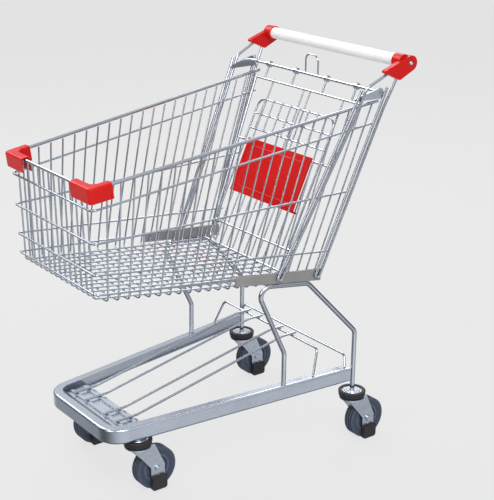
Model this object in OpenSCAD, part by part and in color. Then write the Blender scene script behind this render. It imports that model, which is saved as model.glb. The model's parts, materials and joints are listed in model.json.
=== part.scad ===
// Nesting supermarket cart: tapered wire basket on a U-shaped base, rear gate with a folding child seat.
// Millimetres, +X forward, +Y to the cart's left, +Z up, floor at zero.

/* [Basket] */
// Distance from the rear caster stems to the top of the front wall
basket_front = 709; // [620:1:760]
// Width over the side walls at the front
front_w = 356; // [300:1:400]
// Width over the side walls at the rear edge
rear_w = 446; // [400:1:480]
// Outward lean of the side walls, degrees
wall_lean = 1.7; // [0:0.1:4]
// Backward lean of the front wall toward its foot, degrees
front_lean = 1.8; // [0:0.1:5]
// Height of the rim rod at the front
rim_front_z = 775; // [720:1:820]
// Rise of the rim toward the rear, degrees
rim_slope = 8.1; // [4:0.1:12]
// Height of the floor's cross wires at the front
floor_front_z = 516; // [490:1:560]
// Fall of the floor toward the rear, degrees
floor_slope = 6.4; // [3:0.1:8]
// Number of upright wires in each side wall
side_wires = 22; // [14:1:26]
// Number of upright wires in the front wall
front_wires = 14; // [8:1:16]
// Diameter of the mesh wires
mesh_d = 4; // [3:0.1:5]
// Diameter of the wires that run round the basket
belt_d = 5; // [4:0.1:6]
// Diameter of the rim rod
rim_d = 8; // [6:0.1:10]
// Bend radius where wall wires turn into the floor
mesh_bend_r = 10; // [7:0.5:16]

/* [Bumpers] */
// Width of the bumper's section
bumper_w = 24; // [20:0.5:30]
// Height of the bumper's section
bumper_h = 36; // [30:1:46]
// Wall of the bumper
bumper_wall = 3; // [2:0.1:4]
// Length of the bumper along the front wall
bumper_front_l = 74; // [56:1:100]
// Length of the bumper along the side wall
bumper_side_l = 56; // [44:1:80]
// Corner radius of bumper and rim
corner_r = 26; // [18:1:32]

/* [Base] */
// Height of the top of the base rail at the rear stems
rail_top = 202; // [190:1:220]
// Height of the rail's channel section
rail_h = 38; // [32:1:42]
// Width of the rail's channel section
rail_w = 23; // [19:0.5:26]
// Sheet thickness of the rail
rail_t = 2.5; // [1.5:0.1:3]
// Distance of the rail's centre from the cart's middle at the rear stems
rail_rear_y = 226; // [210:1:235]
// Inward taper of each rail, degrees
rail_taper = 7.5; // [5:0.1:8.5]
// Fall of the base rail toward the front, degrees
rail_slope = 2.1; // [0:0.1:3]
// Distance from the rear stems to the front of the rail
rail_front = 667; // [640:1:700]
// Bend radius of the rail's front corners, on its centre line
rail_bend_r = 46; // [34:1:60]
// Diameter of the leg rods
leg_d = 12; // [10:0.5:14]
// Bend radius of the leg rods
leg_bend_r = 24; // [18:1:32]
// Diameter of the rack's wires and hoops
rack_d = 6; // [5:0.1:8]
// Height of the rack's front hoop
hoop_z = 262; // [240:1:290]

/* [Handle] */
// Height of the handle tube's axis
handle_z = 975; // [940:1:1010]
// How far the handle's axis lies behind the rear stems
handle_back = 97; // [85:1:110]
// Diameter of the handle's steel tube
tube_d = 25; // [20:0.5:28]
// Diameter of the handle's plastic sleeve
sleeve_d = 30; // [28:0.5:34]
// Thickness of each handle bracket's plate
bracket_w = 13; // [12:0.5:18]
// Wire diameter of the hairpin uprights
upright_d = 7; // [6:0.1:8]
// Distance between the two wires of a hairpin
upright_pitch = 12; // [12:0.5:18]
// Lean of the front uprights, degrees
front_upright_lean = 25.2; // [23:0.1:27]
// Lean of the rear uprights, degrees
rear_upright_lean = 20.6; // [18:0.1:23]
// Outward lean of the uprights beyond that of the side walls, degrees
upright_splay = 2.1; // [1.5:0.1:2.5]

/* [Gate] */
// Distance of the gate's hinge axis below the handle's axis
hinge_drop = 67; // [58:1:80]
// Angle of the hanging gate from the vertical, degrees
gate_rest = 24.6; // [23:0.1:26]
// Width of the gate at its top
gate_top_w = 424; // [380:1:430]
// Width of the gate at its lower bar
gate_low_w = 316; // [280:1:330]
// Diameter of the gate's frame rod
gate_d = 7; // [6:0.1:8]
// Diameter of the gate's cross bars
bar_d = 6; // [5:0.1:7]
// Diameter of the hinge rod
hinge_d = 8; // [7:0.1:10]
// Number of upright wires in the gate
gate_wires = 12; // [8:2:14]
// Distance of the seat's hinge bar from the gate's hinge
seat_bar_s = 205; // [195:1:225]
// Distance of the seat back's hinge bar above the gate's lower bar
back_bar_up = 56; // [46:1:70]
// Width of the seat plate
seat_w = 250; // [200:1:260]
// Length of the seat plate
seat_l = 143; // [120:1:150]
// Thickness of the seat plate
seat_t = 5; // [4:0.5:6]
// Width of the seat back's frame
back_w = 300; // [280:1:305]

/* [Casters] */
// Wheel diameter
wheel_d = 106; // [94:1:112]
// Tread width
tread_w = 28; // [24:0.5:32]
// Horizontal distance from stem to axle
trail = 44; // [38:1:50]
// Diameter of the black dust ring
ring_d = 70; // [64:1:78]
// Diameter of the stem
stem_d = 12; // [10:0.5:14]
// Distance of the front stems ahead of the rear stems
front_stem_x = 584; // [575:1:595]
// Diameter of the axle bolt
axle_d = 8; // [7:0.5:10]
// Sheet thickness of the fork
fork_t = 2.5; // [2:0.1:3]

/* [Hidden] */
$fn = 48;
weld = 0.1;
fit = 0.08;
seat_gap = 0.3;
lap = 0.5;
swell = 0.05;
section_swell = 0.12;

ZINC = [0.78, 0.80, 0.83];
RAIL = [0.70, 0.72, 0.76];
PLATE = [0.62, 0.61, 0.59];
RED = [0.84, 0.09, 0.07];
WHITE = [0.95, 0.95, 0.94];
BLACK = [0.10, 0.10, 0.11];
TYRE = [0.28, 0.31, 0.37];

// Overall extent along X, which centres the part on its own box
bolt_x = -handle_back - 18;
bolt_z = handle_z - 5;
knob_r = 18.5;
x_rear = bolt_x - knob_r;
x_front = basket_front + rim_d / 2 + weld + bumper_w / 2;
centre_x = (x_front + x_rear) / 2;

// Basket surfaces: wall centre, floor and rim as functions of place
rear_edge_x = -45;
wall_mid_z = 650;
flare = (rear_w - front_w) / 2 / (basket_front - rear_edge_x);
function wall_y(x, z) = front_w / 2 + flare * (basket_front - x) + tan(wall_lean) * (z - wall_mid_z);
function wall(x, z, off = 0) = [x, wall_y(x, z) + off, z];
function front_x(z) = basket_front - tan(front_lean) * (rim_front_z - z);
floor_front_x = front_x(floor_front_z);
function floor_z(x) = floor_front_z - tan(floor_slope) * (floor_front_x - x);
function rim_z(x) = rim_front_z + tan(rim_slope) * (basket_front - x);
function lerp(a, b, t) = a + (b - a) * t;

// Offsets from the wall's face: mesh inside, belts and plates outside, uprights outside those
mesh_off = -mesh_d / 2;
belt_off = belt_d / 2 + weld;
rim_off = belt_d + weld - rim_d / 2;
plate_t = belt_d;
upright_off = belt_d + weld + upright_d / 2 + 0.15;

// Belts: height at the front and rise toward the rear edge, top to bottom
belt_front = [728, 653, 582, 536] - [1, 1, 1, 1] * (516 - floor_front_z);
belt_rise = [98, 16, -66, -66];
belt_run = 718 * (basket_front - rear_edge_x) / 754;
rear_foot_x = 115;
front_foot_x = 227;
function rear_x(z) = rear_foot_x - tan(rear_upright_lean) * (z - floor_z(rear_foot_x));
function belt_z(k, x) = belt_front[k] + belt_rise[k] * (basket_front - x) / belt_run;
low_belt = len(belt_front) - 1;

// Support plates under the side walls
plate_front_x = 346;
plate_rear_x = 100;
plate_front_h = 22;
plate_rear_h = 30;
function plate_top(x) = belt_z(low_belt, x) + belt_d / 2;
function plate_h(x) = lerp(plate_rear_h, plate_front_h, (x - plate_rear_x) / (plate_front_x - plate_rear_x));
function plate_low(x) = plate_top(x) - plate_h(x);

// Plane of the uprights, which leaves the wall's plane at the plates' foot
splay_z = plate_low(rear_foot_x);
function upright_at(x, z) = wall(x, z, upright_off + tan(upright_splay) * (z - splay_z));

// Base
rail_low = rail_top - rail_h;
rail_r = 6;
rail_lip = 10;
rail_out = rail_w / 2 / cos(rail_taper);
function rail_y(x) = rail_rear_y - tan(rail_taper) * x;
function rail_z(x) = rail_top - tan(rail_slope) * x;
// Point given in the rail's own level, tipped with the rail
function tipped(p) = [
    p.x * cos(rail_slope) + (p.z - rail_top) * sin(rail_slope), p.y,
    rail_top - p.x * sin(rail_slope) + (p.z - rail_top) * cos(rail_slope)
];
rail_rear_x = leg_d / 2 + weld + rail_h * sin(rail_slope);
rail_front_x = rail_front - rail_w / 2;
rear_stem_y = rail_rear_y + rail_w / 2 - 2;
leg_front_x = 197;
leg_bend_z = 278;
leg_rear_bend_z = 302;
leg_top_front_x = 290;
leg_top_rear_x = 136;
cross_front = 625;
cross_rear = 563;
cross_t = 3;
cross_play = 2;
cross_top = rail_top - 14;
socket_d = 20;
front_stem_y = rail_y(front_stem_x) + rail_out - rail_lip / cos(rail_taper) - socket_d / 2 - 0.5;
rib_h = 4;
rack_y = [45, 96];

// Casters
axle_z = wheel_d / 2;
crown_t = 3;
ring_h = 18.5;
ring_top = rail_z(front_stem_x + ring_d / 2) - rail_h - 0.9;
ring_low = ring_top - ring_h;
crown_low = ring_low - weld - crown_t;
dish_r = 26;
dish_h = 4;
flange_top = ring_top + 0.4;
fork_gap = 2;
fork_y = tread_w / 2 + fork_gap;
cheek_low = 30;
hub_r = wheel_d * 0.34;

// Gate: its stop on the floor sets the lower bar, the handle sets the hinge, and its length follows
floor_top = mesh_d * 1.5 + weld;
sill_d = 6;
sill_x = 163;
sill_z = floor_z(sill_x) + (floor_top + sill_d / 2 + weld) / cos(floor_slope);
gate_touch = gate_d / 2 + sill_d / 2 + seat_gap;
gate_bar_x = sill_x + gate_touch * cos(gate_rest);
gate_bar_z = sill_z + gate_touch * sin(gate_rest);
hinge_z = handle_z - hinge_drop;
gate_l = (hinge_z - gate_bar_z) / cos(gate_rest);
hinge_x = gate_bar_x - gate_l * sin(gate_rest);
back_bar_s = gate_l - back_bar_up;
top_bar_s = 40;
hook_y = [60, 170];
hook_w = 10;
gate_mesh_t = -(bar_d / 2 + mesh_d / 2 + weld);
leg_hole = [20, 132];
back_t = gate_d / 2 + belt_d / 2 + 2;
back_top_s = 92;
back_low_s = seat_bar_s - 33;
seat_off = 12;
seat_lip = seat_off + seat_t + 2.5;
function gate_half(s) = lerp(gate_top_w, gate_low_w, s / gate_l) / 2;
gate_pitch = 2 * (gate_half(gate_l) - 20) / (gate_wires - 1);
// Point of the gate: s down from the hinge, y across, t forward of the gate's plane
function on_gate(s, y, t = 0) = [
    hinge_x + s * sin(gate_rest) + t * cos(gate_rest), y,
    hinge_z - s * cos(gate_rest) + t * sin(gate_rest)
];

// Handle
bracket_in = wall_y(-handle_back, handle_z) - 2;
bracket_mid = upright_at(-handle_back + 30, handle_z - 22).y;
bracket_out = bracket_mid + bracket_w / 2;
gusset_t = 3;
rod_end = upright_at(hinge_x, hinge_z).y - upright_d / 2 - 0.15;

// Rods, bends and swept sections
function unit(v) = v / norm(v);
function turn(p, i) = acos(max(-1, min(1, unit(p[i] - p[i - 1]) * unit(p[i + 1] - p[i]))));
function radius(r, i) = is_list(r) ? r[i] : r;
function trim(p, i, r) = i == 0 || i == len(p) - 1 ? 0 : radius(r, i) * tan(turn(p, i) / 2);
function start_of(p, i, r) = p[i] + unit(p[i + 1] - p[i]) * trim(p, i, r);
function end_of(p, i, r) = p[i + 1] - unit(p[i + 1] - p[i]) * trim(p, i + 1, r);
function arc(c, r, a0, a1, n = 6) =
    [for (i = [0 : n]) c + r * [cos(lerp(a0, a1, i / n)), sin(lerp(a0, a1, i / n))]];
function flip(p) = [p.x, -p.y, p.z];

// Straight round rod between two points
module rod(a, b, d) {
    v = b - a;
    translate(a)
        rotate([0, acos(v.z / norm(v)), atan2(v.y, v.x)])
            cylinder(d = d, h = norm(v));
}

// Turn of a section at corner i of a path, a hair fuller than the straights that end inside it
module corner(p, i, r) {
    u = unit(p[i] - p[i - 1]);
    w = unit(p[i + 1] - p[i]);
    n = unit(w - (w * u) * u);
    k = cross(u, n);
    o = p[i] - trim(p, i, r) * u + radius(r, i) * n;
    over = asin(min(lap / radius(r, i), 0.07));
    multmatrix([
        [-n.x, u.x, k.x, o.x], [-n.y, u.y, k.y, o.y], [-n.z, u.z, k.z, o.z], [0, 0, 0, 1]
    ])
        rotate([0, 0, -over])
            rotate_extrude(angle = turn(p, i) + 2 * over)
                translate([radius(r, i), 0])
                    children();
}

// Round rod bent along a path of points
module bent(p, d, r) {
    for (i = [0 : len(p) - 2])
        rod(start_of(p, i, r), end_of(p, i, r), d);
    for (i = [1 : len(p) - 2])
        corner(p, i, r)
            circle(d = d + 2 * swell);
}

// Section swept along a level path that only turns left: first child for straights, second for turns
module swept(p, r) {
    for (i = [0 : len(p) - 2]) {
        a = start_of(p, i, r);
        b = end_of(p, i, r);
        u = unit(b - a);
        s = cross(u, [0, 0, 1]);
        multmatrix([[s.x, 0, -u.x, b.x], [s.y, 0, -u.y, b.y], [0, 1, 0, b.z], [0, 0, 0, 1]])
            linear_extrude(norm(b - a))
                children(0);
    }
    for (i = [1 : len(p) - 2])
        corner(p, i, r)
            children(1);
}

module place(tone) {
    color(tone)
        translate([-centre_x, 0, 0])
            children();
}

module sided(side) {
    mirror([0, side < 0 ? 1 : 0, 0])
        children();
}

// Base rail: pressed channel, open to the inside, with a narrow lower lip
module rail_section(g = 0) {
    w = rail_w / 2;
    top = [w - rail_r, rail_h - rail_r];
    low = [w - rail_r, rail_r];
    polygon(concat(
        [[-w - g, rail_h + g]],
        arc(top, rail_r + g, 90, 0),
        arc(low, rail_r + g, 0, -90),
        [[w - rail_lip - g, -g], [w - rail_lip - g, rail_t + g]],
        arc(low, rail_r - rail_t - g, -90, 0),
        arc(top, rail_r - rail_t - g, 0, 90),
        [[-w - g, rail_h - rail_t - g]]
    ));
}

function rail_path() = [
    [rail_rear_x, -rail_y(rail_rear_x), rail_low], [rail_front_x, -rail_y(rail_front_x), rail_low],
    [rail_front_x, rail_y(rail_front_x), rail_low], [rail_rear_x, rail_y(rail_rear_x), rail_low]
];

module on_rail() {
    translate([0, 0, rail_top])
        rotate([0, rail_slope, 0])
            translate([0, 0, -rail_top])
                children();
}

module base_rail() {
    place(RAIL)
        on_rail()
            swept(rail_path(), rail_bend_r) {
                rail_section();
                rail_section(section_swell);
            }
}

// Plan of the strip between the rails from x0 to x1, its ends inside the channels
module between_rails(x0, x1) {
    in = (rail_t + cross_play) / cos(rail_taper) - rail_out;
    polygon([
        [x0, -rail_y(x0) + in], [x1, -rail_y(x1) + in], [x1, rail_y(x1) - in], [x0, rail_y(x0) - in]
    ]);
}

module front_cross_plate() {
    flange_h = cross_top - rail_low - rail_t - cross_play;
    rib_w = 8;
    rib_l = 2 * (front_stem_y - socket_d);
    low = cross_top - flange_h;
    under = cross_top - cross_t;
    place(ZINC)
        on_rail()
            union() {
                intersection() {
                    translate([0, rail_rear_y, 0])
                        rotate([90, 0, 0])
                            linear_extrude(2 * rail_rear_y)
                                polygon([
                                    [cross_rear, low], [cross_rear + cross_t, low],
                                    [cross_rear + cross_t, under], [cross_front - cross_t, under],
                                    [cross_front - cross_t, low], [cross_front, low],
                                    [cross_front, cross_top], [cross_rear, cross_top]
                                ]);
                    linear_extrude(rail_top)
                        between_rails(cross_rear - 1, cross_front + 1);
                }
                for (k = [0.22, 0.78])
                    translate([lerp(cross_rear, cross_front, k) - rib_w / 2, -rib_l / 2, under + cross_t / 2])
                        cube([rib_w, rib_l, cross_t / 2 + rib_h]);
            }
}

socket_top = tipped([front_stem_x + socket_d, 0, cross_top - cross_t]).z - weld;

// Sockets for the front stems, welded under the cross plate
module caster_sockets() {
    base = flange_top + weld;
    place(ZINC)
        for (y = [-front_stem_y, front_stem_y])
            translate([front_stem_x, y, base])
                difference() {
                    cylinder(d = socket_d, h = socket_top - base);
                    translate([0, 0, -1])
                        cylinder(d = stem_d + 2 * fit, h = cross_top);
                }
}

// Rack: wires from the cross plate up to the front hoop, so the next cart's base can pass below
module rack_wires() {
    rest_z = cross_top + rib_h + rack_d / 2 + weld;
    end_x = hoop_x(1) - 12;
    top_z = hoop_z + rack_d + weld;
    place(ZINC)
        for (y = rack_y, side = [-1, 1])
            bent([
                tipped([cross_front - 8, side * y, rest_z]), tipped([cross_rear - 6, side * y, rest_z]),
                [hoop_x(1) + 30, side * y, top_z], [end_x, side * y, top_z]
            ], rack_d, 40);
}

// Place of the front (1) and rear (0) hoop's bar along X
function hoop_x(k) = k == 1 ? 88 : 8;
function hoop_path(k) = let (
        foot = k == 1 ? 111 : 18, top = k == 1 ? hoop_z : hoop_z - 32, in = 14,
        base = rail_z(foot) + weld + rack_d * 0.3
    ) [
        [foot, rail_y(foot), base], [hoop_x(k), rail_y(foot) - in, top],
        [hoop_x(k), -rail_y(foot) + in, top], [foot, -rail_y(foot), base]
    ];

module rack_hoops() {
    place(ZINC)
        for (k = [0, 1])
            bent(hoop_path(k), rack_d, 14);
}

// Leg: one rod up from the rail, along under the support plate, and down past the rail's rear end
module leg(side) {
    mid = plate_t / 2 + 0.8;
    drop = leg_d / 2 + weld;
    path = [
        [leg_front_x, rail_y(leg_front_x), rail_z(leg_front_x) + weld + leg_d / 2 * tan(rail_slope)],
        [leg_front_x, rail_y(leg_front_x), leg_bend_z],
        wall(leg_top_front_x, plate_low(leg_top_front_x) - drop * 1.02, mid),
        wall(leg_top_rear_x, plate_low(leg_top_rear_x) - drop * 1.02, mid),
        [0, rear_stem_y, leg_rear_bend_z], [0, rear_stem_y, flange_top + weld]
    ];
    place(ZINC)
        sided(side)
            bent(path, leg_d, leg_bend_r);
}

module leg_left() { leg(1); }
module leg_right() { leg(-1); }

// Flat piece of thickness t in the side wall's plane, or splayed from it, its inner face off from the wall's
module in_wall(off, t, splay = 0) {
    lean = tan(wall_lean) + tan(splay);
    translate(wall(0, 0, off - tan(splay) * splay_z))
        multmatrix([[1, 0, 0, 0], [-flare, 1, lean, 0], [0, 0, 1, 0], [0, 0, 0, 1]])
            translate([0, t, 0])
                rotate([90, 0, 0])
                    linear_extrude(t)
                        children();
}

// Flat bar under the side wall
module support_plate(side) {
    outline = [
        [plate_front_x, plate_top(plate_front_x)], [plate_rear_x, plate_top(plate_rear_x)],
        [plate_rear_x, plate_low(plate_rear_x)], [plate_front_x, plate_low(plate_front_x)]
    ];
    place(PLATE)
        sided(side)
            in_wall(weld, plate_t)
                polygon(outline);
}

module support_plate_left() { support_plate(1); }
module support_plate_right() { support_plate(-1); }

// Hairpin upright: one wire ends under the rim or hinge plate, the other carries on into the bracket
function hairpin(foot, lean, free_z, knee_z, end, carry) = let (
        h = upright_pitch / 2, n = [cos(lean), sin(lean)],
        a = foot + carry * h * n, b = foot - carry * h * n,
        knee = [a.x - tan(lean) * (knee_z - a.y), knee_z],
        free = [b.x - tan(lean) * (free_z - b.y), free_z]
    ) [for (q = [end, knee, a, b, free]) upright_at(q.x, q.y)];

module upright(side, path) {
    turn_r = upright_pitch / 2 - 1.2;
    place(ZINC)
        sided(side)
            bent(path, upright_d, [0, 20, turn_r, turn_r, 0]);
}

function front_foot() = [front_foot_x, plate_low(front_foot_x) + upright_d + 2];
function rear_foot() = [rear_foot_x, plate_low(rear_foot_x) + upright_d + 2];
function front_knee_z() = handle_z - 52;
function front_end() = [-handle_back + 27, handle_z - 13];
function rear_end() = [-handle_back + 15, handle_z - 23];
function front_hairpin() = let (z = front_knee_z())
    hairpin(front_foot(), front_upright_lean, z - 4, z, front_end(), -1);
function rear_hairpin() = let (z = rim_z(rear_edge_x))
    hairpin(rear_foot(), rear_upright_lean, z + 36, z - 12, rear_end(), -1);

module front_upright_left() { upright(1, front_hairpin()); }
module front_upright_right() { upright(-1, front_hairpin()); }
module rear_upright_left() { upright(1, rear_hairpin()); }
module rear_upright_right() { upright(-1, rear_hairpin()); }

// Basket mesh
foot_l = mesh_bend_r + 3;
belt_return = 34;
belt_bend_r = 11;
first_x = floor_front_x - 27;
last_low_x = rear_foot_x + 9;
function side_low_x(i) = lerp(first_x, last_low_x, i / (side_wires - 1));
function side_top_x(i) = lerp(first_x, rear_edge_x + 14, i / (side_wires - 1));
function side_corner(i) = wall(side_low_x(i), floor_z(side_low_x(i)), mesh_off);

module side_wire(i) {
    x = side_top_x(i);
    low = side_corner(i);
    top = wall(x, rim_z(x) - rim_d / 2 - 0.8, mesh_off);
    bent([top, low, low - [0, foot_l, 0]], mesh_d, mesh_bend_r);
}

// Side belt k, from the front panel's return to the rear edge, or to the support plate
module side_belt(k) {
    x0 = front_x(belt_front[k]) - belt_return - weld;
    x1 = k == low_belt ? plate_front_x + seat_gap : rear_x(belt_z(k, rear_edge_x + 30)) - upright_pitch / 2;
    rod(wall(x0, belt_z(k, x0), belt_off), wall(x1, belt_z(k, x1), belt_off), belt_d);
}

module basket_side(side) {
    place(ZINC)
        sided(side) {
            for (i = [0 : side_wires - 1])
                side_wire(i);
            for (k = [0 : low_belt])
                side_belt(k);
        }
}

module basket_left() { basket_side(1); }
module basket_right() { basket_side(-1); }

// Front wires turn back into the floor and fan out toward the rear
long_off = (mesh_d + weld) / cos(floor_slope);
long_rear_x = sill_x - 6;
fan = (wall_y(long_rear_x, floor_z(long_rear_x)) - 14) / (front_w / 2 - 22);
function front_y(j) = lerp(-1, 1, j / (front_wires - 1)) * (front_w / 2 - 22);
function long_corner(j) = [floor_front_x, front_y(j), floor_z(floor_front_x) + long_off];
function long_rear(j) = [long_rear_x, front_y(j) * fan, floor_z(long_rear_x) + long_off];
function long_foot(j) = long_corner(j) + unit(long_rear(j) - long_corner(j)) * foot_l;

// Wire across the front: a straight run with a bent corner piece welded to each end
module front_run(back, tip, d, r) {
    end = tip - [0, r + 6, 0];
    rod(flip(end) + [0, weld, 0], end - [0, weld, 0], d);
    for (side = [-1, 1])
        sided(side)
            bent([back, tip, end], d, r);
}

module front_belt(k) {
    b = front_x(belt_front[k]) - belt_return;
    x = front_x(belt_front[k]) + mesh_d / 2 + weld + belt_d / 2;
    front_run(wall(b, belt_z(k, b), belt_off), wall(x, belt_z(k, x), belt_off), belt_d, belt_bend_r);
}

rim_front_x = basket_front + rim_d / 2 + weld;
rim_return = bumper_side_l + 4;
function rim_point(x) = wall(x, rim_z(x), rim_off);

module basket_front() {
    place(ZINC) {
        for (j = [0 : front_wires - 1])
            bent([
                [front_x(rim_front_z), front_y(j), rim_front_z - rim_d / 2], long_corner(j), long_foot(j)
            ], mesh_d, mesh_bend_r);
        for (k = [0 : low_belt])
            front_belt(k);
        front_run(rim_point(rim_front_x - rim_return), rim_point(rim_front_x), rim_d, corner_r);
    }
}

module rim(side) {
    place(ZINC)
        sided(side)
            rod(rim_point(rim_front_x - rim_return - weld), rim_point(rear_edge_x), rim_d);
}

module rim_left() { rim(1); }
module rim_right() { rim(-1); }

// Floor: cross wires between the side walls' feet, wires to the rear, sill rod that stops the gate
module basket_floor() {
    place(ZINC) {
        for (i = [0 : side_wires - 1]) {
            c = side_corner(i) - [0, foot_l + weld, 0];
            if (c.x > long_rear_x - 4)
                rod(flip(c), c, mesh_d);
        }
        for (j = [0 : front_wires - 1]) {
            u = unit(long_rear(j) - long_corner(j));
            rod(long_foot(j) + u * weld, long_rear(j), mesh_d);
        }
        rod([sill_x, -wall_y(sill_x, sill_z) + mesh_d + weld + sill_d, sill_z],
            [sill_x, wall_y(sill_x, sill_z) - mesh_d - weld - sill_d, sill_z], sill_d);
    }
}

// Corner bumper: soft cap with an open underside, clipped over the rim's corner
module bumper_section(g = 0) {
    w = bumper_w / 2;
    r = bumper_w / 3;
    in = w - bumper_wall;
    top = rim_d / 2 + seat_gap;
    crown = top + bumper_wall;
    low = crown - bumper_h;
    polygon(concat(
        [[-w - g, low - g]], arc([-w + r, crown - r], r + g, 180, 90), arc([w - r, crown - r], r + g, 90, 0),
        [[w + g, low - g], [in - g, low - g]], arc([in - 4, top - 4], 4 - g, 0, 90),
        arc([-in + 4, top - 4], 4 - g, 90, 180), [[-in + g, low - g]]
    ));
}

module bumper(side) {
    y = rim_point(rim_front_x).y;
    flare_up = flare * cos(rim_slope) + tan(wall_lean) * sin(rim_slope);
    path = [
        [0, y - bumper_front_l, 0], [0, y, 0], [-bumper_side_l, y + flare_up * bumper_side_l, 0]
    ];
    place(RED)
        sided(side)
            translate([rim_front_x, 0, rim_z(rim_front_x)])
                rotate([0, rim_slope, 0])
                    swept(path, corner_r) {
                        bumper_section();
                        bumper_section(section_swell);
                    }
}

module bumper_left() { bumper(1); }
module bumper_right() { bumper(-1); }

// Handle
module across(y0, y1, d) {
    translate([-handle_back, y0, handle_z])
        rotate([-90, 0, 0])
            cylinder(d = d, h = y1 - y0);
}

tube_end = bracket_mid - 3;

module handle_tube() {
    wall_t = 1.5;
    place(ZINC)
        difference() {
            across(-tube_end, tube_end, tube_d);
            across(-tube_end - 1, tube_end + 1, tube_d - 2 * wall_t);
        }
}

module handle_sleeve() {
    end = bracket_in - seat_gap;
    place(WHITE)
        difference() {
            across(-end, end, sleeve_d);
            across(-end - 1, end + 1, tube_d + 2 * fit);
        }
}

// Bracket: moulded plate with a round knob, sockets for both upright wires and a boss for the tube's end
module bracket_outline() {
    hull() {
        translate([bolt_x, bolt_z])
            circle(r = knob_r);
        translate([-handle_back + 60.5, handle_z - 18])
            circle(r = 4);
        translate([-handle_back + 16.5, handle_z - 37])
            circle(r = 4.5);
    }
}

module handle_bracket(side) {
    sink_d = upright_d + 2 * fit;
    boss_d = sleeve_d + 5;
    place(RED)
        sided(side)
            difference() {
                union() {
                    translate([0, bracket_out, 0])
                        rotate([90, 0, 0])
                            linear_extrude(bracket_w)
                                bracket_outline();
                    across(bracket_in, bracket_mid, boss_d);
                }
                across(bracket_in - 1, tube_end + weld, tube_d + 2 * fit);
                for (p = [front_hairpin(), rear_hairpin()]) {
                    u = unit(p[0] - p[1]);
                    rod(p[1], p[0] + u * seat_gap, sink_d);
                }
                translate([bolt_x, bolt_end, bolt_z])
                    rotate([-90, 0, 0])
                        cylinder(d = bolt_d + 2 * fit, h = bracket_w);
                translate([bolt_x, bracket_out - bolt_sink, bolt_z])
                    rotate([-90, 0, 0])
                        cylinder(d = bolt_head_d + 1, h = 2 * bolt_sink);
            }
}

bolt_d = 6;
bolt_head_d = 13;
bolt_sink = 3.5;
bolt_end = bracket_out - bracket_w + 2;

module handle_bracket_left() { handle_bracket(1); }
module handle_bracket_right() { handle_bracket(-1); }

// Bracket bolts with sunk domed heads, threaded into the moulding
module handle_bolts() {
    head_h = 5;
    seat = bracket_out - bolt_sink;
    shank = bolt_end + seat_gap;
    place(ZINC)
        for (side = [-1, 1])
            sided(side)
                translate([bolt_x, 0, bolt_z])
                    rotate([-90, 0, 0]) {
                        translate([0, 0, shank])
                            cylinder(d = bolt_d, h = seat - shank + head_h / 2);
                        translate([0, 0, seat + weld])
                            cylinder(d1 = bolt_head_d, d2 = bolt_head_d - 4, h = head_h);
                    }
}

// Gate hinge: a gusset on each side joins the uprights and holds the rod's end
function at_height(a, b, z) = a + (b - a) * (z - a.z) / (b.z - a.z);

module hinge_plates() {
    front = front_hairpin();
    rear = rear_hairpin();
    corners = [for (p = [front, rear]) at_height(p[3], p[4], hinge_z - 12)];
    place(ZINC)
        for (side = [-1, 1])
            sided(side)
                difference() {
                    in_wall(upright_off - upright_d / 2 - 0.15 - gusset_t, gusset_t, upright_splay)
                        hull() {
                            translate([hinge_x, hinge_z])
                                circle(d = hinge_d + 12);
                            for (c = corners)
                                translate([c.x, c.z])
                                    circle(d = 8);
                        }
                    translate([hinge_x, rod_end - 20, hinge_z])
                        rotate([-90, 0, 0])
                            cylinder(d = hinge_d + 2 * fit, h = 40);
                }
}

module gate_hinge_rod() {
    place(ZINC)
        rod([hinge_x, -rod_end, hinge_z], [hinge_x, rod_end, hinge_z], hinge_d);
}

// Small loop standing on the hinge rod, for a bag's handles
module bag_hook() {
    half = 24;
    rise = 46;
    d = 4;
    base = hinge_z + hinge_d / 2 + weld;
    place(ZINC)
        bent([
            [hinge_x, -half, base], [hinge_x, -half, base + rise],
            [hinge_x, half, base + rise], [hinge_x, half, base]
        ], d, 16);
}

// Rear gate: bent frame, cross bars, upright wires with two leg openings, hooks on the hinge rod
module gate_bar(s, inset = 0) {
    half = gate_half(s) - gate_d / 2 - weld - inset;
    rod(on_gate(s, -half), on_gate(s, half), bar_d);
}

module ring(c, bore, wall_t, w) {
    translate([c.x, c.y - w / 2, c.z])
        rotate([-90, 0, 0])
            difference() {
                cylinder(d = bore + 2 * wall_t, h = w);
                translate([0, 0, -1])
                    cylinder(d = bore, h = w + 2);
            }
}

module rear_gate() {
    bar_s = [top_bar_s, seat_bar_s, back_bar_s];
    low_end = gate_half(gate_l) - 36;
    place(ZINC) {
        for (side = [-1, 1])
            sided(side)
                bent([
                    on_gate(top_bar_s - 6, gate_half(top_bar_s)), on_gate(gate_l, gate_half(gate_l)),
                    on_gate(gate_l, low_end)
                ], gate_d, 22);
        rod(on_gate(gate_l, -low_end + weld), on_gate(gate_l, low_end - weld), gate_d);
        for (s = bar_s)
            gate_bar(s);
        for (j = [0 : gate_wires - 1]) {
            y = (j - (gate_wires - 1) / 2) * gate_pitch;
            at_leg = abs(y) > leg_hole[0] && abs(y) < leg_hole[1];
            rod(on_gate(at_leg ? seat_bar_s - 4 : top_bar_s - 4, y, gate_mesh_t),
                on_gate(gate_l - gate_d / 2, y, gate_mesh_t), mesh_d);
        }
        for (y = hook_y, side = [-1, 1])
            difference() {
                union() {
                    ring(on_gate(0, side * y), hinge_d + 2 * fit, 4, hook_w);
                    rod(on_gate(hinge_d / 2 + 2, side * y),
                        on_gate(top_bar_s - bar_d / 2 - weld, side * y), belt_d);
                }
                translate(on_gate(0, side * y) - [0, hook_w, 0])
                    rotate([-90, 0, 0])
                        cylinder(d = hinge_d + 2 * fit, h = 2 * hook_w);
            }
    }
}

module back_run(s, end) {
    rod(on_gate(s, -end, back_t), on_gate(s, end, back_t), belt_d);
}

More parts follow.
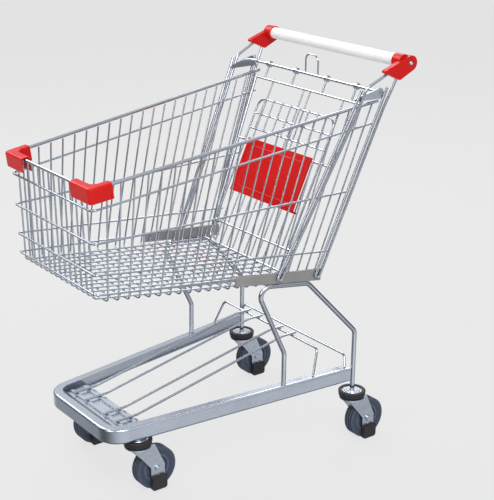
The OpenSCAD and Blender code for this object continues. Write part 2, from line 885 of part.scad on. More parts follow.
// Seat back: folds forward from the gate's lower bar, open where the seat plate passes
module seat_back() {
    half = back_w / 2;
    eye_w = 8;
    eye_t = 3.5;
    cross_s = [back_low_s, (back_low_s + back_top_s) / 2];
    wires = 8;
    place(ZINC) {
        difference() {
            union() {
                for (side = [-1, 1])
                    sided(side) {
                        bent([
                            on_gate(back_bar_s - 4, half, 3.5), on_gate(back_bar_s - 14, half, back_t),
                            on_gate(back_top_s, half, back_t), on_gate(back_top_s, half - 36, back_t)
                        ], belt_d, [0, 8, 24, 0]);
                        ring(on_gate(back_bar_s, half), bar_d + 2 * fit, eye_t, eye_w);
                    }
            }
            for (side = [-1, 1])
                translate(on_gate(back_bar_s, side * half) - [0, eye_w, 0])
                    rotate([-90, 0, 0])
                        cylinder(d = bar_d + 2 * fit, h = 2 * eye_w);
        }
        for (s = cross_s)
            back_run(s, half - belt_d / 2 - weld);
        back_run(back_top_s, half - 36 - weld);
        for (j = [0 : wires - 1]) {
            y = lerp(-1, 1, j / (wires - 1)) * (half - 28);
            t = back_t + belt_d / 2 + mesh_d / 2 + weld;
            rod(on_gate(back_low_s + 3, y, t), on_gate(back_top_s - 3, y, t), mesh_d);
        }
    }
}

// Seat plate: moulded panel with a lip, two knuckles on the gate's seat bar
module seat_plate() {
    knuckle_w = gate_pitch - mesh_d - 3;
    knuckle_y = 3 * gate_pitch;
    bore = bar_d + 2 * fit;
    top = -7;
    rib_h = 2;
    place(RED)
        translate(on_gate(seat_bar_s, 0))
            rotate([0, 90 - gate_rest, 0])
                difference() {
                    union() {
                        translate([top, -seat_w / 2, seat_off])
                            cube([seat_l, seat_w, seat_t]);
                        translate([top + seat_l - seat_t, -seat_w / 2, seat_off + seat_t - seat_lip])
                            cube([seat_t, seat_w, seat_lip]);
                        for (side = [-1, 1])
                            translate([0, side * knuckle_y - knuckle_w / 2, 0])
                                rotate([-90, 0, 0]) {
                                    cylinder(d = bore + 7, h = knuckle_w);
                                    translate([-bore / 2 - 3.5, -seat_off - 1, 0])
                                        cube([bore + 7, seat_off + 1, knuckle_w]);
                                }
                        for (y = [-seat_w / 2, seat_w / 2 - 4])
                            translate([top, y, seat_off])
                                cube([seat_l, 4, seat_t + rib_h]);
                    }
                    translate([0, -seat_w, 0])
                        rotate([-90, 0, 0])
                            cylinder(d = bore, h = 2 * seat_w);
                }
}

// Casters: place of the stem by end and side
module at_stem(front, side) {
    translate([front ? front_stem_x : 0, side * (front ? front_stem_y : rear_stem_y), 0])
        children();
}

// Stem with its ridged cap in the ring's dish and a bottom nut; the front ones reach into their sockets
module stem(front, side) {
    nut_h = 8;
    nut_r = 9;
    r = stem_d / 2;
    cap_r = dish_r - 0.5;
    cap_low = ring_top - dish_h + seat_gap;
    step = (flange_top - cap_low) / 3;
    low = crown_low - seat_gap - nut_h;
    top = front ? socket_top - 2 : flange_top;
    place(ZINC)
        at_stem(front, side)
            union() {
                rotate_extrude()
                    polygon([
                        [0, low], [r, low], [r, cap_low], [cap_r, cap_low], [cap_r, cap_low + step],
                        [cap_r - 5, cap_low + step], [cap_r - 6, cap_low + 2 * step],
                        [cap_r - 11, cap_low + 2 * step], [cap_r - 12, flange_top], [r, flange_top],
                        [r, top], [0, top]
                    ]);
                translate([0, 0, low])
                    cylinder(r = nut_r, h = nut_h, $fn = 6);
            }
}

// Black dust ring of the swivel bearing, with a dish in its top
module ring_cover(front, side) {
    r = ring_d / 2;
    bore = stem_d / 2 + fit;
    place(BLACK)
        at_stem(front, side)
            rotate_extrude()
                polygon(concat(
                    [[bore, ring_low], [r - 6, ring_low], [r - 1, ring_low + 6]],
                    arc([r - 3, ring_top - 3], 3, 0, 90),
                    [[dish_r, ring_top], [dish_r, ring_top - dish_h], [bore, ring_top - dish_h]]
                ));
}

// Fork: crown under the ring, two cheeks down past the axle, and a web in front between them
cheek_half = 19;
neck = [24, crown_low];
knee = [-trail + cheek_half, axle_z + 6];

module cheek_outline() {
    r = 6;
    rear = -trail - cheek_half;
    polygon(concat(
        [neck + [0, crown_t / 2], [-36, crown_low + crown_t / 2], [rear, axle_z + 8]],
        arc([rear + r, cheek_low + r], r, 180, 270),
        arc([knee.x - r, cheek_low + r], r, 270, 360),
        [knee]
    ));
}

module web_outline() {
    u = unit(knee - neck);
    n = fork_t * [u.y, -u.x];
    polygon([neck, neck + n, neck + n + 35 * u, neck + 35 * u]);
}

module upright_slab(outline_y, t) {
    translate([0, outline_y + t, 0])
        rotate([90, 0, 0])
            linear_extrude(t)
                children();
}

module fork(front, side) {
    crown_r = 32;
    rivet_d = 6;
    place(ZINC)
        at_stem(front, side)
            difference() {
                union() {
                    translate([0, 0, crown_low])
                        cylinder(r = crown_r, h = crown_t);
                    for (y = [-fork_y - fork_t, fork_y])
                        upright_slab(y, fork_t)
                            cheek_outline();
                    upright_slab(-fork_y - fork_t / 2, 2 * fork_y + fork_t)
                        web_outline();
                    translate([-trail, -fork_y - fork_t - 1.5, shoe_high + rivet_d / 2 + 1])
                        for (y = [0, 2 * fork_y + fork_t + 1.5])
                            translate([0, y, 0])
                                rotate([-90, 0, 0])
                                    cylinder(d = rivet_d, h = fork_t + 1.5);
                }
                translate([0, 0, crown_low - 1])
                    cylinder(d = stem_d + 2 * fit, h = crown_t + 2);
                translate([-trail, -fork_y - fork_t - 1, axle_z])
                    rotate([-90, 0, 0])
                        cylinder(d = axle_d + 2 * fit, h = 2 * (fork_y + fork_t + 1));
            }
}

// Brake shoes: blocks on the cheeks' lower ends, which seat in the grooves of a moving walkway
shoe_high = 34;

module shoes(front, side) {
    w = 12;
    low = 2;
    r = 7;
    front_x = cheek_half + 1;
    place(BLACK)
        at_stem(front, side)
            for (s = [-1, 1])
                sided(s)
                    translate([-trail, 0, 0])
                        difference() {
                            upright_slab(fork_y + seat_gap, w)
                                polygon(concat(
                                    [[-front_x, shoe_high]], arc([-front_x + r, low + r], r, 180, 270),
                                    arc([front_x - 4, low + 4], 4, 270, 360), [[front_x, shoe_high]]
                                ));
                            translate([-2 * front_x, fork_y - 1, cheek_low - weld])
                                cube([4 * front_x, fork_t + 1 + weld, shoe_high]);
                        }
}

// Axle bolt, round head on one side and nut on the other
module axle(front, side) {
    out = fork_y + fork_t + weld;
    head = 5;
    place(ZINC)
        at_stem(front, side)
            translate([-trail, 0, axle_z])
                rotate([-90, 0, 0]) {
                    translate([0, 0, -out - 1])
                        cylinder(d = axle_d, h = 2 * out + 2);
                    translate([0, 0, out])
                        cylinder(d = 15, h = head);
                    translate([0, 0, -out - head])
                        cylinder(d = 15, h = head, $fn = 6);
                }
}

// Hub: moulded core with a recessed face on each side
module hub(front, side) {
    w = tread_w / 2 - 1;
    boss = tread_w / 2 + fork_gap - seat_gap;
    bore = axle_d / 2 + fit;
    place(WHITE)
        at_stem(front, side)
            translate([-trail, 0, axle_z])
                rotate([-90, 0, 0])
                    rotate_extrude()
                        polygon([
                            [bore, -boss], [11, -boss], [12, -w + 5], [hub_r - 8, -w + 5], [hub_r - 6, -w],
                            [hub_r - weld, -w], [hub_r - weld, w], [hub_r - 6, w], [hub_r - 8, w - 5],
                            [12, w - 5], [11, boss], [bore, boss]
                        ]);
}

// Tyre: grooved tread that drops between the ribs of a moving walkway
module tyre(front, side) {
    w = tread_w / 2;
    r = wheel_d / 2;
    deep = 9;
    ribs = 4;
    pitch = tread_w / (ribs - 0.5);
    rib = pitch / 2;
    tread = [for (k = [0 : ribs - 1]) let (a = -w + k * pitch)
        each [
            [r - deep, a], [r - 1, a], [r, a + 1],
            [r, a + rib - 1], [r - 1, a + rib], [r - deep, a + rib]
        ]];
    place(TYRE)
        at_stem(front, side)
            translate([-trail, 0, axle_z])
                rotate([-90, 0, 0])
                    rotate_extrude()
                        polygon(concat([[hub_r, -w]], tread, [[hub_r, w]]));
}

module stem_front_left() { stem(true, 1); }
module stem_front_right() { stem(true, -1); }
module stem_rear_left() { stem(false, 1); }
module stem_rear_right() { stem(false, -1); }
module ring_front_left() { ring_cover(true, 1); }
module ring_front_right() { ring_cover(true, -1); }
module ring_rear_left() { ring_cover(false, 1); }
module ring_rear_right() { ring_cover(false, -1); }
module fork_front_left() { fork(true, 1); }
module fork_front_right() { fork(true, -1); }
module fork_rear_left() { fork(false, 1); }
module fork_rear_right() { fork(false, -1); }
module shoes_front_left() { shoes(true, 1); }
module shoes_front_right() { shoes(true, -1); }
module shoes_rear_left() { shoes(false, 1); }
module shoes_rear_right() { shoes(false, -1); }
module axle_front_left() { axle(true, 1); }
module axle_front_right() { axle(true, -1); }
module axle_rear_left() { axle(false, 1); }
module axle_rear_right() { axle(false, -1); }
module hub_front_left() { hub(true, 1); }
module hub_front_right() { hub(true, -1); }
module hub_rear_left() { hub(false, 1); }
module hub_rear_right() { hub(false, -1); }
module tyre_front_left() { tyre(true, 1); }
module tyre_front_right() { tyre(true, -1); }
module tyre_rear_left() { tyre(false, 1); }
module tyre_rear_right() { tyre(false, -1); }

base_rail();
front_cross_plate();
caster_sockets();
rack_wires();
rack_hoops();
leg_left();
leg_right();
support_plate_left();
support_plate_right();
front_upright_left();
front_upright_right();
rear_upright_left();
rear_upright_right();
basket_front();
basket_left();
basket_right();
basket_floor();
rim_left();
rim_right();
bumper_left();
bumper_right();
handle_tube();
handle_sleeve();
handle_bracket_left();
handle_bracket_right();
handle_bolts();
hinge_plates();
gate_hinge_rod();
bag_hook();
rear_gate();
seat_back();
seat_plate();
stem_front_left();
stem_front_right();
stem_rear_left();
stem_rear_right();
ring_front_left();
ring_front_right();
ring_rear_left();
ring_rear_right();
fork_front_left();
fork_front_right();
fork_rear_left();
fork_rear_right();
shoes_front_left();
shoes_front_right();
shoes_rear_left();
shoes_rear_right();
axle_front_left();
axle_front_right();
axle_rear_left();
axle_rear_right();
hub_front_left();
hub_front_right();
hub_rear_left();
hub_rear_right();
tyre_front_left();
tyre_front_right();
tyre_rear_left();
tyre_rear_right();
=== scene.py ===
"""Dressed model of a nesting supermarket cart: finishes, weld beads, bumpers, trim, studio and camera."""

import json
import logging
import math
from dataclasses import dataclass, field
from enum import Enum
from typing import Iterable, Sequence

import bmesh
import bpy
from mathutils import Matrix, Vector


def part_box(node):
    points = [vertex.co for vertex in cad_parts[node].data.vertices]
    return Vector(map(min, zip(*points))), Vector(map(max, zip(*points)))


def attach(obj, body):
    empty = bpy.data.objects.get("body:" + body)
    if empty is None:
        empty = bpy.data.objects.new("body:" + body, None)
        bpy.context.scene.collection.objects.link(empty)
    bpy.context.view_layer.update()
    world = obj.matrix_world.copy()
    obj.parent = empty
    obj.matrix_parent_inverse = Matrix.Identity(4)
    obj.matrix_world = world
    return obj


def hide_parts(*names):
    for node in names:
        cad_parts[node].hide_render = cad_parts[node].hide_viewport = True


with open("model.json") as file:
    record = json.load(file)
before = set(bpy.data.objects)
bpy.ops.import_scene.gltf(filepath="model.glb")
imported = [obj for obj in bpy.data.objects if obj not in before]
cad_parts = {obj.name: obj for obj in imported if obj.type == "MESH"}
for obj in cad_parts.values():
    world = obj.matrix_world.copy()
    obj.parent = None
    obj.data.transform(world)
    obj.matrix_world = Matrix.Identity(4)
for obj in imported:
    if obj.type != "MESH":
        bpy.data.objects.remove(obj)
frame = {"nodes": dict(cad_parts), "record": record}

LOG = logging.getLogger("cart")
RGB = tuple[float, float, float]
Pair = tuple[float, float]
Material = bpy.types.Material
Socket = bpy.types.NodeSocket
MM = 0.001
WHITE = (1.0, 1.0, 1.0, 1.0)
BLACK = (0.0, 0.0, 0.0, 1.0)


def joint_at(name: str) -> Vector:
    """Place of a joint at rest, in metres."""
    joints = frame["record"]["behaviour"]["joints"]
    return Vector(next(joint["pos_m"] for joint in joints if joint["name"] == name))


STEM_X = joint_at("swivel_turn_rear_left").x


class MetalGrain(Enum):
    """How the surface of a metal finish is worked."""

    DRAWN = "drawn"
    BRUSHED = "brushed"
    SPANGLED = "spangled"
    PAINTED = "painted"


class Nodes:
    """Short hand for filling a node tree."""

    def __init__(self, tree: bpy.types.NodeTree) -> None:
        """Works on one tree.

        Args:
            tree: the tree to fill.
        """
        self.tree = tree

    def node(self, kind: str, **values: object) -> bpy.types.Node:
        """Adds a node and sets its properties or inputs.

        Args:
            kind: the node's Blender type.
            values: properties by name, or inputs by name with spaces as underscores.

        Returns:
            The new node.
        """
        made = self.tree.nodes.new(kind)
        for key, value in values.items():
            if hasattr(made, key):
                setattr(made, key, value)
            else:
                made.inputs[key.replace("_", " ")].default_value = value
        return made

    def link(self, source: Socket, target: Socket) -> None:
        """Joins two sockets."""
        self.tree.links.new(source, target)

    def ramp(self, value: Socket, stops: Sequence[tuple[float, RGB]]) -> Socket:
        """Colours by value.

        Args:
            value: the driving socket.
            stops: place and colour pairs, in rising order.

        Returns:
            The colour socket.
        """
        made = self.node("ShaderNodeValToRGB")
        elements = made.color_ramp.elements
        for k, (place, colour) in enumerate(stops):
            element = elements[k] if k < len(elements) else elements.new(place)
            element.position = place
            element.color = (*colour, 1.0)
        self.link(value, made.inputs["Fac"])
        return made.outputs["Color"]

    def map_range(self, value: Socket, given: Pair, wanted: Pair) -> Socket:
        """Maps one range of values onto another.

        Args:
            value: the driving socket.
            given: ends of the range that comes in.
            wanted: what they become.

        Returns:
            The value socket.
        """
        made = self.node("ShaderNodeMapRange")
        for key, number in zip(("From Min", "From Max", "To Min", "To Max"), (*given, *wanted)):
            made.inputs[key].default_value = number
        self.link(value, made.inputs["Value"])
        return made.outputs["Result"]

    def calculate(self, operation: str, one: Socket, two: Socket | float = 0.0) -> Socket:
        """Works out one or two values.

        Args:
            operation: the Math node's operation.
            one: the first value.
            two: the second value, a socket or a number.

        Returns:
            The value socket.
        """
        made = self.node("ShaderNodeMath", operation=operation)
        self.link(one, made.inputs[0])
        if isinstance(two, float):
            made.inputs[1].default_value = two
        else:
            self.link(two, made.inputs[1])
        return made.outputs[0]

    def dot(self, vector: Socket, way: Sequence[float]) -> Socket:
        """Dot product of a vector and a fixed way.

        Args:
            vector: the vector socket.
            way: the fixed way.

        Returns:
            The value socket.
        """
        made = self.node("ShaderNodeVectorMath", operation="DOT_PRODUCT")
        self.link(vector, made.inputs[0])
        made.inputs[1].default_value = way
        return made.outputs["Value"]


class Graph(Nodes):
    """A material's node tree around its Principled shader."""

    NOISE_RANGE = (0.3, 0.7)
    EDGE_SAMPLES = 4
    EDGE_AGREEMENT = 0.86
    # A Mix node repeats its socket names for each type, so its colour sockets go by number.
    MIX_FACTOR, MIX_COLOUR, MIX_TINT, MIX_RESULT = 0, 6, 7, 2

    def __init__(self, name: str) -> None:
        """Starts a material with an empty Principled tree.

        Args:
            name: the material's name.
        """
        self.material = bpy.data.materials.new(name)
        self.material.use_nodes = True
        super().__init__(self.material.node_tree)
        self.shader = self.tree.nodes["Principled BSDF"]

    def coordinates(self, scale: RGB = (1.0, 1.0, 1.0), centre: Sequence[float] = (0.0, 0.0, 0.0)) -> Socket:
        """Object coordinates, shifted and stretched.

        Args:
            scale: stretch along each axis.
            centre: the point that becomes the origin.

        Returns:
            The vector socket.
        """
        place = self.node("ShaderNodeTexCoord")
        mapping = self.node("ShaderNodeMapping")
        mapping.inputs["Location"].default_value = [-c * s for c, s in zip(centre, scale)]
        mapping.inputs["Scale"].default_value = scale
        self.link(place.outputs["Object"], mapping.inputs["Vector"])
        return mapping.outputs["Vector"]

    def noise(self, vector: Socket, scale: float, detail: float) -> Socket:
        """Soft noise between 0 and 1.

        Args:
            vector: where to read it.
            scale: features per metre.
            detail: number of finer layers.

        Returns:
            The value socket.
        """
        made = self.node("ShaderNodeTexNoise", Scale=scale, Detail=detail)
        self.link(vector, made.inputs["Vector"])
        return made.outputs[0]

    def spread(self, value: Socket, low: float, high: float) -> Socket:
        """Maps the range where noise mostly lies onto low to high."""
        return self.map_range(value, self.NOISE_RANGE, (low, high))

    def halfway(self, one: Socket, two: Socket) -> Socket:
        """Mean of two values.

        Args:
            one: the first value.
            two: the second value.

        Returns:
            The value socket.
        """
        made = self.node("ShaderNodeMix", data_type="FLOAT", Factor=0.5)
        self.link(one, made.inputs["A"])
        self.link(two, made.inputs["B"])
        return made.outputs["Result"]

    def tinted(self, colour: Socket, tint: RGB, amount: Socket) -> Socket:
        """Mixes a fixed tint into a colour.

        Args:
            colour: the colour socket.
            tint: the fixed colour.
            amount: share of the tint.

        Returns:
            The colour socket.
        """
        made = self.node("ShaderNodeMix", data_type="RGBA")
        self.link(amount, made.inputs[self.MIX_FACTOR])
        self.link(colour, made.inputs[self.MIX_COLOUR])
        made.inputs[self.MIX_TINT].default_value = (*tint, 1.0)
        return made.outputs[self.MIX_RESULT]

    def edges(self, width: float) -> Socket:
        """Mask of the outer edges.

        Args:
            width: how far an edge reaches, in metres.

        Returns:
            The value socket, 1 on an edge.
        """
        rounded = self.node("ShaderNodeBevel", samples=self.EDGE_SAMPLES, Radius=width)
        plain = self.node("ShaderNodeNewGeometry")
        agree = self.node("ShaderNodeVectorMath", operation="DOT_PRODUCT")
        self.link(rounded.outputs["Normal"], agree.inputs[0])
        self.link(plain.outputs["Normal"], agree.inputs[1])
        return self.map_range(agree.outputs["Value"], (1.0, self.EDGE_AGREEMENT), (0.0, 1.0))

    def bump(self, value: Socket, strength: float, depth: float) -> None:
        """Feeds a bump to the shader.

        Args:
            value: height socket.
            strength: how strongly it shows.
            depth: height in metres.
        """
        made = self.node("ShaderNodeBump", Strength=strength, Distance=depth)
        self.link(value, made.inputs["Height"])
        self.feed(Normal=made.outputs["Normal"])

    def feed(self, **sockets: Socket) -> None:
        """Links sockets to the shader's inputs."""
        for key, socket in sockets.items():
            self.link(socket, self.shader.inputs[key.replace("_", " ")])

    def set(self, **values: object) -> None:
        """Sets constants on the shader's own sockets."""
        for key, value in values.items():
            self.shader.inputs[key.replace("_", " ")].default_value = value


@dataclass(frozen=True)
class MetalFinish:
    """A bare, plated or painted metal surface; each noise has features per metre and finer layers."""

    name: str
    light: RGB
    dark: RGB
    rough: Pair
    grain: MetalGrain
    metallic: float = 1.0
    cloud: Pair = (14.0, 4.0)
    drawn: Pair = (380.0, 5.0)
    paint: Pair = (900.0, 2.0)
    brush: Pair = (1.0, 3.0)
    brush_stretch: RGB = (6.0, 420.0, 420.0)
    spangle_scale: float = 150.0
    tone_range: Pair = (0.28, 0.68)
    bump: float = 0.05
    brushed_bump: float = 0.02
    bump_depth: float = 0.0002

    def surface(self, g: Graph) -> Socket:
        """Fine pattern that the working leaves on the metal.

        Args:
            g: the material's graph.

        Returns:
            The value socket.
        """
        if self.grain is MetalGrain.BRUSHED:
            return g.noise(g.coordinates(self.brush_stretch), *self.brush)
        where = g.coordinates()
        if self.grain is MetalGrain.SPANGLED:
            cells = g.node("ShaderNodeTexVoronoi", Scale=self.spangle_scale, feature="SMOOTH_F1")
            g.link(where, cells.inputs["Vector"])
            return cells.outputs["Distance"]
        if self.grain is MetalGrain.PAINTED:
            return g.noise(where, *self.paint)
        return g.noise(where, *self.drawn)

    def material(self) -> Material:
        """Builds the finish.

        Returns:
            The material.
        """
        g = Graph(self.name)
        fine = self.surface(g)
        mixed = g.halfway(g.noise(g.coordinates(), *self.cloud), fine)
        g.feed(
            Base_Color=g.ramp(mixed, tuple(zip(self.tone_range, (self.dark, self.light)))),
            Roughness=g.spread(mixed, self.rough[1], self.rough[0]),
        )
        g.bump(fine, self.brushed_bump if self.grain is MetalGrain.BRUSHED else self.bump, self.bump_depth)
        g.set(Metallic=self.metallic)
        return g.material


@dataclass(frozen=True)
class PlasticFinish:
    """A moulded plastic with a faint texture and handling marks; an edge colour gives it rubbed edges."""

    name: str
    base: RGB
    faded: RGB
    rough: Pair
    texture: Pair = (700.0, 2.0)
    depth: float = 0.00003
    gloss: float = 0.35
    edge: RGB | None = None
    edge_width: float = 0.0011
    cloud: Pair = (9.0, 2.0)
    tone_range: Pair = (0.35, 0.75)
    bump: float = 0.15

    def material(self) -> Material:
        """Builds the finish.

        Returns:
            The material.
        """
        g = Graph(self.name)
        where = g.coordinates()
        cloud = g.noise(where, *self.cloud)
        colour = g.ramp(cloud, tuple(zip(self.tone_range, (self.base, self.faded))))
        if self.edge:
            colour = g.tinted(colour, self.edge, g.edges(self.edge_width))
        g.feed(Base_Color=colour, Roughness=g.spread(cloud, *self.rough))
        g.bump(g.noise(where, *self.texture), self.bump, self.depth)
        g.set(Specular_IOR_Level=self.gloss)
        return g.material


@dataclass(frozen=True)
class RubberFinish:
    """Wheel rubber: dusty where it rolls, cleaner toward the hub."""

    name: str
    clean: RGB
    dusty: RGB
    radius: float
    tread_from: float = 0.82
    most_dust: float = 0.75
    patches: Pair = (60.0, 6.0)
    patch_dust: Pair = (0.2, 1.0)
    tone_range: Pair = (0.0, 0.9)
    rough: Pair = (0.5, 0.75)
    grain: Pair = (900.0, 3.0)
    bump: float = 0.25
    bump_depth: float = 0.0002

    def material(self, centre: Sequence[float]) -> Material:
        """Builds the finish for one wheel.

        Args:
            centre: the wheel's middle.

        Returns:
            The material.
        """
        g = Graph(self.name)
        reach = g.node("ShaderNodeVectorMath", operation="LENGTH")
        g.link(g.coordinates((1.0, 0.0, 1.0), centre), reach.inputs[0])
        tread = (self.tread_from * self.radius, self.radius)
        ring = g.map_range(reach.outputs["Value"], tread, (0.0, self.most_dust))
        patch = g.noise(g.coordinates(), *self.patches)
        dust = g.calculate("MULTIPLY", ring, g.spread(patch, *self.patch_dust))
        g.feed(
            Base_Color=g.ramp(dust, tuple(zip(self.tone_range, (self.clean, self.dusty)))),
            Roughness=g.spread(patch, *self.rough),
        )
        g.bump(g.noise(g.coordinates(), *self.grain), self.bump, self.bump_depth)
        return g.material


BRIGHT_WIRE = MetalFinish(
    "bright_wire", (0.63, 0.665, 0.715), (0.465, 0.495, 0.545), (0.13, 0.22), MetalGrain.DRAWN)
SATIN_RAIL = MetalFinish(
    "satin_rail", (0.60, 0.645, 0.71), (0.51, 0.55, 0.615), (0.2, 0.3), MetalGrain.BRUSHED)
GREY_PLATE = MetalFinish(
    "grey_plate", (0.40, 0.39, 0.37), (0.31, 0.305, 0.295), (0.36, 0.46), MetalGrain.PAINTED, metallic=0.6)
ZINC = MetalFinish(
    "zinc_fork", (0.63, 0.68, 0.745), (0.54, 0.585, 0.645), (0.26, 0.36), MetalGrain.SPANGLED)
RED_PLASTIC = PlasticFinish(
    "red_plastic", (0.58, 0.005, 0.004), (0.64, 0.010, 0.008), (0.26, 0.34),
    gloss=0.22, edge=(0.76, 0.08, 0.07))
WHITE_PLASTIC = PlasticFinish(
    "white_plastic", (0.90, 0.90, 0.90), (0.84, 0.84, 0.85), (0.22, 0.34))
BLACK_PLASTIC = PlasticFinish(
    "black_plastic", (0.020, 0.018, 0.020), (0.038, 0.034, 0.037), (0.42, 0.55), depth=0.00015)
HUB_PLASTIC = PlasticFinish(
    "hub_plastic", (0.078, 0.10, 0.15), (0.11, 0.135, 0.185), (0.36, 0.5), depth=0.0001)
WHEEL_RUBBER = RubberFinish(
    "wheel_rubber", (0.044, 0.059, 0.095), (0.092, 0.109, 0.148), 0.053)


def on_nodes(names: Iterable[str], material: Material) -> None:
    """Puts one material on carried CAD nodes.

    Args:
        names: the nodes.
        material: what they get.
    """
    for name in names:
        slots = frame["nodes"][name].data.materials
        slots.clear()
        slots.append(material)


def add_object(name: str, mesh: bpy.types.Mesh) -> bpy.types.Object:
    """Adds an object with a mesh to the scene.

    Args:
        name: the object's name.
        mesh: its mesh.

    Returns:
        The object.
    """
    obj = bpy.data.objects.new(name, mesh)
    bpy.context.collection.objects.link(obj)
    return obj


def smooth(mesh: bpy.types.Mesh) -> None:
    """Shades every face of a mesh smooth."""
    for polygon in mesh.polygons:
        polygon.use_smooth = True


def add_mesh(
    name: str, points: Sequence[Vector], faces: Sequence[Sequence[int]], finish: Material
) -> bpy.types.Object:
    """Adds a smooth mesh whose faces point outwards.

    Args:
        name: the piece's name.
        points: its vertices.
        faces: vertex numbers of each face.
        finish: its material.

    Returns:
        The object.
    """
    mesh = bpy.data.meshes.new(name)
    mesh.from_pydata([tuple(q) for q in points], [], faces)
    bm = bmesh.new()
    bm.from_mesh(mesh)
    bmesh.ops.recalc_face_normals(bm, faces=bm.faces)
    bm.to_mesh(mesh)
    bm.free()
    mesh.materials.append(finish)
    smooth(mesh)
    return add_object(name, mesh)


def closed_skin(
    rings: Sequence[Sequence[Vector]], wrap: bool = False
) -> tuple[list[Vector], list[list[int]]]:
    """Joins rings of equal counts into a closed skin.

    Args:
        rings: points of each ring, in order.
        wrap: joins the last ring to the first instead of capping both ends.

    Returns:
        Points and faces.
    """
    count, rows = len(rings[0]), len(rings)
    points = [q for ring in rings for q in ring]
    faces: list[list[int]] = []
    for k in range(rows if wrap else rows - 1):
        here, there = k * count, (k + 1) % rows * count
        for i in range(count):
            after = (i + 1) % count
            faces.append([here + i, here + after, there + after, there + i])
    if not wrap:
        faces.append(list(range(count)))
        faces.append(list(range(len(points) - count, len(points))))
    return points, faces


class BeadTree:
    """Geometry Nodes tree that sets a small flattened bead on every point."""

    RADIUS = 0.003
    HEIGHT = 0.6
    SEGMENTS = 8
    RINGS = 5
    MOST_TURN = (0.6, 0.6, 3.0)
    SEED = 7

    def __init__(self) -> None:
        """Builds the node group with its named inputs."""
        self.tree = bpy.data.node_groups.new("weld_beads", "GeometryNodeTree")
        face = self.tree.interface
        face.new_socket("Points", in_out="INPUT", socket_type="NodeSocketGeometry")
        for name, value in (("Bead Radius", self.RADIUS), ("Bead Height", self.HEIGHT)):
            face.new_socket(name, in_out="INPUT", socket_type="NodeSocketFloat").default_value = value
        face.new_socket("Finish", in_out="INPUT", socket_type="NodeSocketMaterial")
        face.new_socket("Beads", in_out="OUTPUT", socket_type="NodeSocketGeometry")
        n = Nodes(self.tree)
        given = n.node("NodeGroupInput").outputs
        ball = n.node("GeometryNodeMeshUVSphere", Segments=self.SEGMENTS, Rings=self.RINGS)
        size = n.node("ShaderNodeCombineXYZ", X=1.0, Y=1.0)
        turn = n.node("FunctionNodeRandomValue", data_type="FLOAT_VECTOR", Max=self.MOST_TURN, Seed=self.SEED)
        scatter = n.node("GeometryNodeInstanceOnPoints")
        real = n.node("GeometryNodeRealizeInstances")
        finish = n.node("GeometryNodeSetMaterial")
        result = n.node("NodeGroupOutput")
        n.link(given["Bead Radius"], ball.inputs["Radius"])
        n.link(given["Bead Height"], size.inputs["Z"])
        n.link(given["Points"], scatter.inputs["Points"])
        n.link(ball.outputs["Mesh"], scatter.inputs["Instance"])
        n.link(turn.outputs["Value"], scatter.inputs["Rotation"])
        n.link(size.outputs["Vector"], scatter.inputs["Scale"])
        n.link(scatter.outputs["Instances"], real.inputs["Geometry"])
        n.link(real.outputs["Geometry"], finish.inputs["Geometry"])
        n.link(given["Finish"], finish.inputs["Material"])
        n.link(finish.outputs["Geometry"], result.inputs["Beads"])

    def make(self, name: str, points: Sequence[Vector], radius: float, finish: Material) -> bpy.types.Object:
        """Makes one plain mesh of beads.

        Args:
            name: the piece's name.
            points: where the beads sit.
            radius: a bead's radius.
            finish: its material.

        Returns:
            The finished object.
        """
        mesh = bpy.data.meshes.new(name)
        mesh.from_pydata([tuple(p) for p in points], [], [])
        obj = add_object(name, mesh)
        modifier = obj.modifiers.new("beads", "NODES")
        modifier.node_group = self.tree
        wanted = {"Bead Radius": radius, "Finish": finish}
        for socket in self.tree.interface.items_tree:
            if socket.name in wanted:
                modifier[socket.identifier] = wanted[socket.name]
        depsgraph = bpy.context.evaluated_depsgraph_get()
        made = bpy.data.meshes.new_from_object(obj.evaluated_get(depsgraph))
        obj.modifiers.clear()
        obj.data = made
        made.name = name
        smooth(made)
        return obj


@dataclass(frozen=True)
class PhotoCamera:
    """Camera at the photograph's viewpoint; angles in degrees."""

    position: RGB = (1.94075 + STEM_X, 2.33968, 1.50471)
    azimuth: float = 142.7794
    elevation: float = 19.2007
    roll: float = 0.7846
    lens: float = 88.548
    sensor: float = 36.0
    clip_end: float = 100.0

    def place(self) -> None:
        """Creates the camera and makes it the scene's own."""
        data = bpy.data.cameras.new("photo_camera")
        data.sensor_fit = "VERTICAL"
        data.sensor_height = self.sensor
        data.sensor_width = self.sensor
        data.lens = self.lens
        data.clip_end = self.clip_end
        a, e, r = (math.radians(v) for v in (self.azimuth, self.elevation, self.roll))
        back = Vector((math.sin(a) * math.cos(e), -math.cos(a) * math.cos(e), math.sin(e)))
        right = Vector((math.cos(a), math.sin(a), 0.0))
        up = back.cross(right)
        side = right * math.cos(r) + up * math.sin(r)
        top = up * math.cos(r) - right * math.sin(r)
        camera = bpy.data.objects.new("photo_camera", data)
        camera.matrix_world = Matrix((side, top, back)).transposed().to_4x4()
        camera.location = self.position
        bpy.context.collection.objects.link(camera)
        bpy.context.scene.camera = camera


@dataclass(frozen=True)
class Lamp:
    """One soft box, turned toward the cart's middle."""

    name: str
    place: RGB
    width: float
    height: float
    power: float
    aim: RGB = (0.0, 0.0, 0.5)

    def hang(self) -> None:
        """Adds the lamp."""
        data = bpy.data.lights.new(self.name, "AREA")
        data.shape = "RECTANGLE"
        data.size = self.width
        data.size_y = self.height
        data.energy = self.power
        lamp = bpy.data.objects.new(self.name, data)
        lamp.location = self.place
        lamp.rotation_euler = (Vector(self.place) - Vector(self.aim)).to_track_quat("Z", "Y").to_euler()
        lamp.visible_camera = False
        bpy.context.collection.objects.link(lamp)


